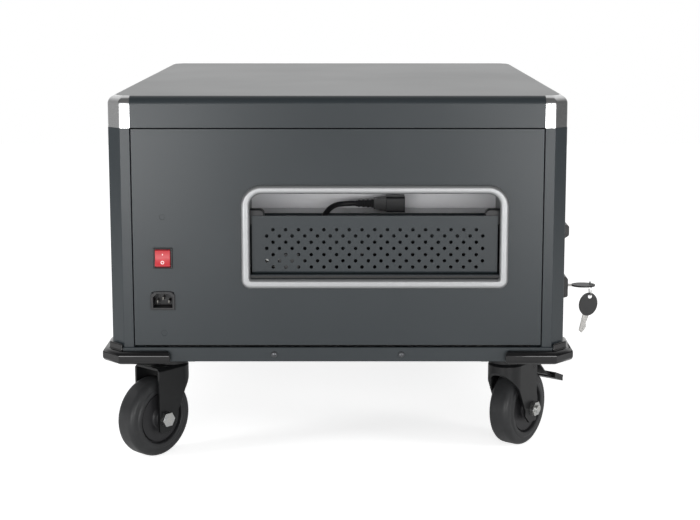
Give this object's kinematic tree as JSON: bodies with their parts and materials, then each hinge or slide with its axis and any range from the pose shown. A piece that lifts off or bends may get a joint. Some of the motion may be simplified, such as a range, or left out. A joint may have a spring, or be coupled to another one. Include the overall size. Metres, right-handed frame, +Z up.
{
  "type": "charging cabinet",
  "caption": "Low steel charging cabinet on castors with a locking side door, a cord pocket, a mains inlet and a rocker switch.",
  "frame": {"origin": "on the floor under the middle of the body's plan", "axes": "+Z up, -Y out of the service side with switch, inlet and cord pocket, +X out of the door"},
  "size_m": [0.6353, 0.7048, 0.46],
  "materials": {
    "body_paint": "satin powder coat",
    "lid_paint": "satin powder coat",
    "bright_cap": "polished",
    "bumper_rubber": "satin",
    "zinc_steel": "bright zinc",
    "silver_frame": "satin",
    "pale_paint": "satin powder coat",
    "tray_paint": "satin powder coat",
    "black_moulding": "fine texture",
    "red_rocker": "translucent gloss",
    "cord_rubber": "matt",
    "black_paint": "semi-gloss",
    "wheel_core": "matt",
    "wheel_tyre": "matt",
    "key_steel": "nickel"
  },
  "bodies": {
    "cabinet": {"base_pan": "body_paint", "corner_posts": "body_paint", "service_panel": "body_paint", "far_side_panel": "body_paint", "back_panel": "body_paint", "top_cover": "lid_paint", "top_corner_caps": "bright_cap", "corner_bumpers": "bumper_rubber", "base_screws": "zinc_steel", "opening_frame": "silver_frame", "pocket_liner": "pale_paint", "cable_tray": "tray_paint", "tray_lugs": "black_moulding", "switch_housing": "black_moulding", "inlet_socket": "black_moulding", "inlet_pins": "zinc_steel", "lead_connector": "cord_rubber", "lead_plug": "cord_rubber", "lead_plug_pins": "zinc_steel", "lead_hank": "cord_rubber", "lead_cord": "cord_rubber", "caster_plates": "black_paint", "caster_bolts": "zinc_steel", "hinge_post_leaves": "black_paint", "hinge_pins": "zinc_steel", "service_bulkhead": "pale_paint", "lock_keeper": "zinc_steel", "rack_base": "pale_paint", "rack_dividers": "pale_paint", "socket_rail": "black_moulding"},
    "door": {"door_panel": "body_paint", "hinge_door_leaves": "black_paint", "door_pull": "black_moulding", "lock_barrel": "zinc_steel"},
    "lock": {"lock_plug": "zinc_steel", "lock_cam": "zinc_steel", "key": "key_steel"},
    "ring": {"key_ring": "zinc_steel"},
    "spare": {"spare_key": "key_steel"},
    "rocker": {"switch_rocker": "red_rocker"},
    "caster_service_left": {"caster_fork_service_left": "black_paint", "caster_axle_service_left": "zinc_steel"},
    "wheel_service_left": {"caster_core_service_left": "wheel_core", "caster_tyre_service_left": "wheel_tyre"},
    "caster_service_door": {"caster_fork_service_door": "black_paint", "caster_axle_service_door": "zinc_steel"},
    "wheel_service_door": {"caster_core_service_door": "wheel_core", "caster_tyre_service_door": "wheel_tyre"},
    "brake_service_door": {"caster_brake_service_door": "black_paint"},
    "caster_far_left": {"caster_fork_far_left": "black_paint", "caster_axle_far_left": "zinc_steel"},
    "wheel_far_left": {"caster_core_far_left": "wheel_core", "caster_tyre_far_left": "wheel_tyre"},
    "caster_far_door": {"caster_fork_far_door": "black_paint", "caster_axle_far_door": "zinc_steel"},
    "wheel_far_door": {"caster_core_far_door": "wheel_core", "caster_tyre_far_door": "wheel_tyre"},
    "brake_far_door": {"caster_brake_far_door": "black_paint"}
  },
  "joints": [
    {"name": "door_swing", "type": "hinge", "parent": "cabinet", "child": "door", "pos_m": [0.2848, 0.311, 0.28], "axis": [0, 0, 1], "range_deg": [0, 110]},
    {"name": "key_turn", "type": "hinge", "parent": "door", "child": "lock", "pos_m": [0.28, -0.22, 0.203], "axis": [1, 0, 0], "range_deg": [0, 90]},
    {"name": "ring_swing", "type": "hinge", "parent": "lock", "child": "ring", "pos_m": [0.3303, -0.22, 0.203], "axis": [0, 1, 0], "range_deg": [-20, 20]},
    {"name": "spare_key_swing", "type": "hinge", "parent": "ring", "child": "spare", "pos_m": [0.3303, -0.2134, 0.1879], "axis": [0, 1, 0], "range_deg": [-25, 25]},
    {"name": "rocker_tilt", "type": "hinge", "parent": "cabinet", "child": "rocker", "pos_m": [-0.214, -0.34, 0.2615], "axis": [1, 0, 0], "range_deg": [0, 16]},
    {"name": "swivel_service_left", "type": "hinge", "parent": "cabinet", "child": "caster_service_left", "pos_m": [-0.215, -0.275, 0.116], "axis": [0, 0, 1], "continuous": true},
    {"name": "roll_service_left", "type": "hinge", "parent": "caster_service_left", "child": "wheel_service_left", "pos_m": [-0.23468, -0.29764, 0.05], "axis": [0.7547, -0.6561, 0], "continuous": true},
    {"name": "swivel_service_door", "type": "hinge", "parent": "cabinet", "child": "caster_service_door", "pos_m": [0.215, -0.275, 0.116], "axis": [0, 0, 1], "continuous": true},
    {"name": "roll_service_door", "type": "hinge", "parent": "caster_service_door", "child": "wheel_service_door", "pos_m": [0.23305, -0.25104, 0.05], "axis": [-0.7986, 0.6018, 0], "continuous": true},
    {"name": "brake_service_door", "type": "hinge", "parent": "caster_service_door", "child": "brake_service_door", "pos_m": [0.23426, -0.24944, 0.1065], "axis": [0.7986, -0.6018, 0], "range_deg": [0, 18]},
    {"name": "swivel_far_left", "type": "hinge", "parent": "cabinet", "child": "caster_far_left", "pos_m": [-0.215, 0.275, 0.116], "axis": [0, 0, 1], "continuous": true},
    {"name": "roll_far_left", "type": "hinge", "parent": "caster_far_left", "child": "wheel_far_left", "pos_m": [-0.24398, 0.26724, 0.05], "axis": [0.2588, -0.9659, 0], "continuous": true},
    {"name": "swivel_far_door", "type": "hinge", "parent": "cabinet", "child": "caster_far_door", "pos_m": [0.215, 0.275, 0.116], "axis": [0, 0, 1], "continuous": true},
    {"name": "roll_far_door", "type": "hinge", "parent": "caster_far_door", "child": "wheel_far_door", "pos_m": [0.24398, 0.26724, 0.05], "axis": [0.2588, 0.9659, 0], "continuous": true},
    {"name": "brake_far_door", "type": "hinge", "parent": "caster_far_door", "child": "brake_far_door", "pos_m": [0.24591, 0.26672, 0.1065], "axis": [-0.2588, -0.9659, 0], "range_deg": [0, 18]}
  ]
}
